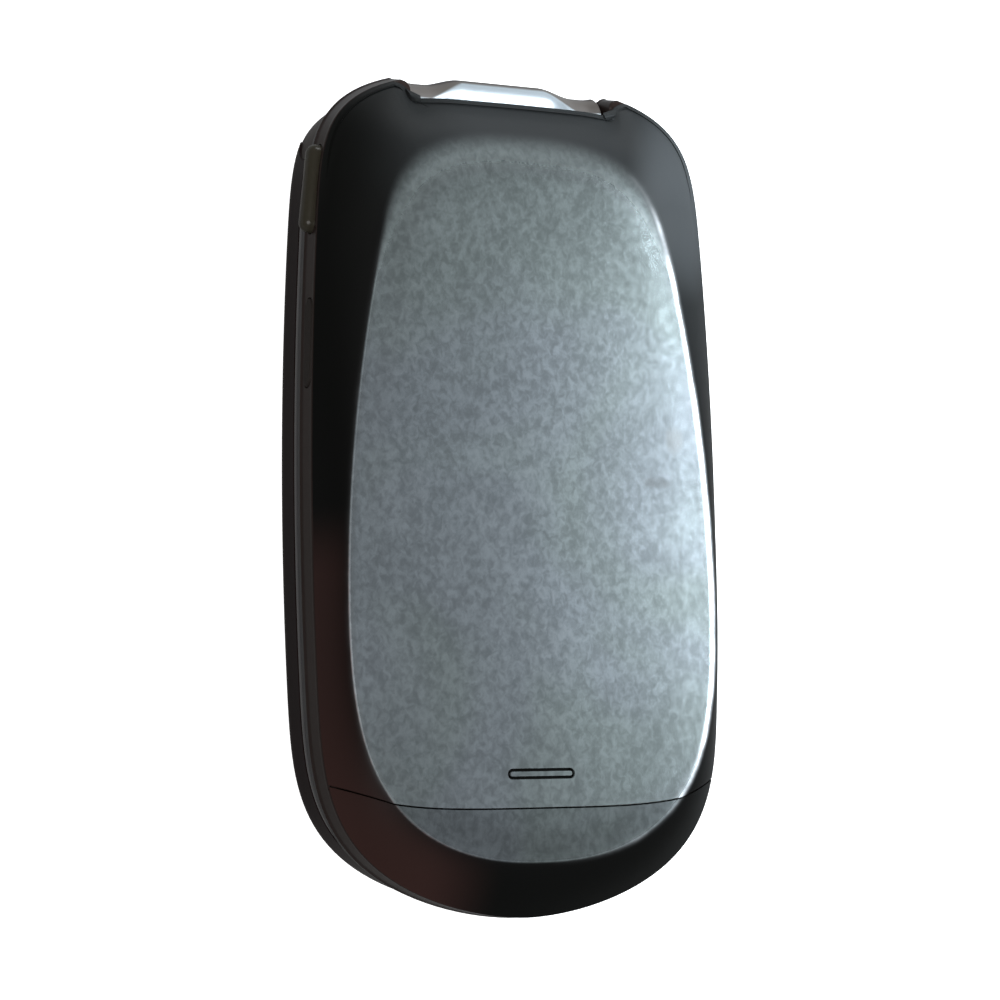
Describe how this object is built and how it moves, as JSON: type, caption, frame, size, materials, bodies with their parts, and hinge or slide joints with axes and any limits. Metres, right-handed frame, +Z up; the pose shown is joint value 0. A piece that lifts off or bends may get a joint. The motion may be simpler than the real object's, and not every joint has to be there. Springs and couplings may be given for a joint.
{
  "type": "flip phone",
  "caption": "Slim clamshell phone, closed, with a sculpted battery door, hinge barrel, side rocker, keypad and two displays inside.",
  "frame": {"origin": "centre of the footprint of the closed phone, on the lid's outer face", "axes": "X across, +Y towards the hinge, +Z up out of the back (battery side)"},
  "size_m": [0.0509, 0.0966, 0.0172],
  "materials": {
    "gloss_black": "high gloss",
    "satin_black": "satin",
    "back_paint": "fine satin paint, dark on the bevels",
    "window": "clear gloss",
    "display_glass": "gloss",
    "grille_metal": "brushed",
    "speaker_can": "plated",
    "board": "solder mask",
    "rubber": "matte",
    "screw_steel": "plated",
    "copper_film": "film",
    "battery_wrap": "wrapped cell",
    "dome_film": "film with metal domes",
    "key_plastic": "painted keys"
  },
  "bodies": {
    "lid": {"lid_front_cover": "gloss_black", "outer_window": "window", "outer_display": "display_glass", "camera_lens": "window", "camera_module": "satin_black", "lid_inner_frame": "satin_black", "main_window": "window", "main_display": "display_glass", "earpiece_grille": "grille_metal", "earpiece_speaker": "speaker_can", "lid_board": "board", "vibration_motor": "speaker_can", "lid_bumpers": "rubber", "lid_screws": "screw_steel", "hinge_barrel": "gloss_black", "hinge_cartridge": "screw_steel", "hinge_shaft": "screw_steel", "display_flex": "copper_film"},
    "base": {"keypad_cover": "satin_black", "rear_housing": "satin_black", "antenna_cover": "back_paint", "antenna": "copper_film", "battery": "battery_wrap", "battery_contacts": "satin_black", "main_board": "board", "shield_cans": "speaker_can", "dome_sheet": "dome_film", "microphone": "speaker_can", "charging_socket": "speaker_can", "rocker_switch": "board", "base_screws": "screw_steel"},
    "door": {"battery_door": "back_paint"},
    "port_flap": {"port_cover": "gloss_black"},
    "rocker": {"volume_rocker": "gloss_black"},
    "nav_ring_body": {"nav_ring": "grille_metal"},
    "ok_key_body": {"ok_key": "key_plastic"},
    "left_soft_key_body": {"left_soft_key": "key_plastic"},
    "right_soft_key_body": {"right_soft_key": "key_plastic"},
    "send_key_body": {"send_key": "key_plastic"},
    "clear_key_body": {"clear_key": "key_plastic"},
    "end_key_body": {"end_key": "key_plastic"},
    "key_1_body": {"key_1": "key_plastic"},
    "key_2_body": {"key_2": "key_plastic"},
    "key_3_body": {"key_3": "key_plastic"},
    "key_4_body": {"key_4": "key_plastic"},
    "key_5_body": {"key_5": "key_plastic"},
    "key_6_body": {"key_6": "key_plastic"},
    "key_7_body": {"key_7": "key_plastic"},
    "key_8_body": {"key_8": "key_plastic"},
    "key_9_body": {"key_9": "key_plastic"},
    "key_star_body": {"key_star": "key_plastic"},
    "key_0_body": {"key_0": "key_plastic"},
    "key_hash_body": {"key_hash": "key_plastic"}
  },
  "joints": [
    {"name": "lid_flip", "type": "hinge", "parent": "lid", "child": "base", "pos_m": [0, 0.0437, 0.0079], "axis": [-1, 0, 0], "range_deg": [0, 155]},
    {"name": "battery_door_lift", "type": "slide", "parent": "base", "child": "door", "axis": [0, 0, 1], "range_m": [0, 0.025]},
    {"name": "port_cover_swing", "type": "hinge", "parent": "base", "child": "port_flap", "pos_m": [-0.0247, 0.02095, 0.0112], "axis": [0, 0, -1], "range_deg": [0, 95]},
    {"name": "volume_rocker_tilt", "type": "hinge", "parent": "base", "child": "rocker", "pos_m": [-0.02326, 0.03342, 0.011], "axis": [0, 0, 1], "range_deg": [-1.8, 1.8], "stiffness_Nm_per_rad": 0.16},
    {"name": "nav_ring_press", "type": "slide", "parent": "base", "child": "nav_ring_body", "axis": [0, 0, 1], "range_m": [0, 0.0003], "stiffness_N_per_m": 5000},
    {"name": "ok_key_press", "type": "slide", "parent": "base", "child": "ok_key_body", "axis": [0, 0, 1], "range_m": [0, 0.0003], "stiffness_N_per_m": 5000},
    {"name": "left_soft_key_press", "type": "slide", "parent": "base", "child": "left_soft_key_body", "axis": [0, 0, 1], "range_m": [0, 0.0003], "stiffness_N_per_m": 5000},
    {"name": "right_soft_key_press", "type": "slide", "parent": "base", "child": "right_soft_key_body", "axis": [0, 0, 1], "range_m": [0, 0.0003], "stiffness_N_per_m": 5000},
    {"name": "send_key_press", "type": "slide", "parent": "base", "child": "send_key_body", "axis": [0, 0, 1], "range_m": [0, 0.0003], "stiffness_N_per_m": 5000},
    {"name": "clear_key_press", "type": "slide", "parent": "base", "child": "clear_key_body", "axis": [0, 0, 1], "range_m": [0, 0.0003], "stiffness_N_per_m": 5000},
    {"name": "end_key_press", "type": "slide", "parent": "base", "child": "end_key_body", "axis": [0, 0, 1], "range_m": [0, 0.0003], "stiffness_N_per_m": 5000},
    {"name": "key_1_press", "type": "slide", "parent": "base", "child": "key_1_body", "axis": [0, 0, 1], "range_m": [0, 0.0003], "stiffness_N_per_m": 5000},
    {"name": "key_2_press", "type": "slide", "parent": "base", "child": "key_2_body", "axis": [0, 0, 1], "range_m": [0, 0.0003], "stiffness_N_per_m": 5000},
    {"name": "key_3_press", "type": "slide", "parent": "base", "child": "key_3_body", "axis": [0, 0, 1], "range_m": [0, 0.0003], "stiffness_N_per_m": 5000},
    {"name": "key_4_press", "type": "slide", "parent": "base", "child": "key_4_body", "axis": [0, 0, 1], "range_m": [0, 0.0003], "stiffness_N_per_m": 5000},
    {"name": "key_5_press", "type": "slide", "parent": "base", "child": "key_5_body", "axis": [0, 0, 1], "range_m": [0, 0.0003], "stiffness_N_per_m": 5000},
    {"name": "key_6_press", "type": "slide", "parent": "base", "child": "key_6_body", "axis": [0, 0, 1], "range_m": [0, 0.0003], "stiffness_N_per_m": 5000},
    {"name": "key_7_press", "type": "slide", "parent": "base", "child": "key_7_body", "axis": [0, 0, 1], "range_m": [0, 0.0003], "stiffness_N_per_m": 5000},
    {"name": "key_8_press", "type": "slide", "parent": "base", "child": "key_8_body", "axis": [0, 0, 1], "range_m": [0, 0.0003], "stiffness_N_per_m": 5000},
    {"name": "key_9_press", "type": "slide", "parent": "base", "child": "key_9_body", "axis": [0, 0, 1], "range_m": [0, 0.0003], "stiffness_N_per_m": 5000},
    {"name": "key_star_press", "type": "slide", "parent": "base", "child": "key_star_body", "axis": [0, 0, 1], "range_m": [0, 0.0003], "stiffness_N_per_m": 5000},
    {"name": "key_0_press", "type": "slide", "parent": "base", "child": "key_0_body", "axis": [0, 0, 1], "range_m": [0, 0.0003], "stiffness_N_per_m": 5000},
    {"name": "key_hash_press", "type": "slide", "parent": "base", "child": "key_hash_body", "axis": [0, 0, 1], "range_m": [0, 0.0003], "stiffness_N_per_m": 5000}
  ]
}
